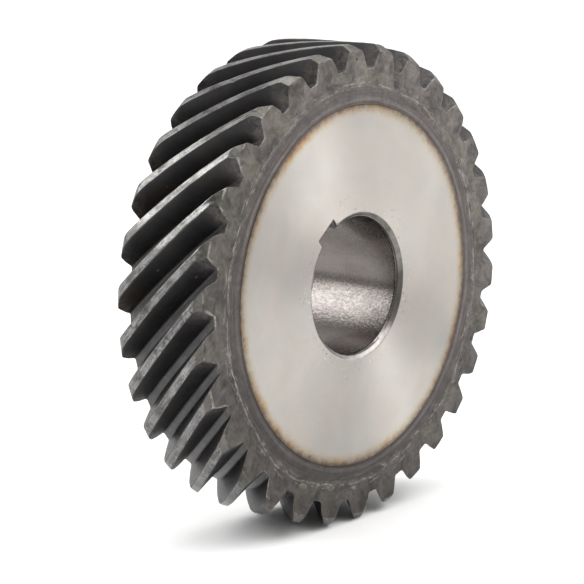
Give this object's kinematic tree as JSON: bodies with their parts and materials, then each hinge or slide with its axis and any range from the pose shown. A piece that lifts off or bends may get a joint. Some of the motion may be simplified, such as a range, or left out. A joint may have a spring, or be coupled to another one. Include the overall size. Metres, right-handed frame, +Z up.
{
  "type": "helical gear",
  "caption": "Left-hand helical gear with chamfered tooth ends and a keyed bore, modelled as a hardened toothed ring on a bright hub disc; the real gear may be one piece.",
  "frame": {"origin": "on the bore's axis, half-way between the toothed ring's two faces", "axes": "the gear stands on its teeth: +Y along the bore's axis, from the front face to the back face, +Z up, +X to the right seen from the front"},
  "size_m": [0.1332, 0.032, 0.1332],
  "materials": {
    "hardened_steel": "dark grey heat-treated steel, rough on the end faces, with lighter worn tooth tips",
    "bright_steel": "bright ground steel, straw to blue temper colours at the rim"
  },
  "bodies": {
    "root": {"toothed_ring": "hardened_steel", "hub_disc": "bright_steel"}
  },
  "joints": []
}
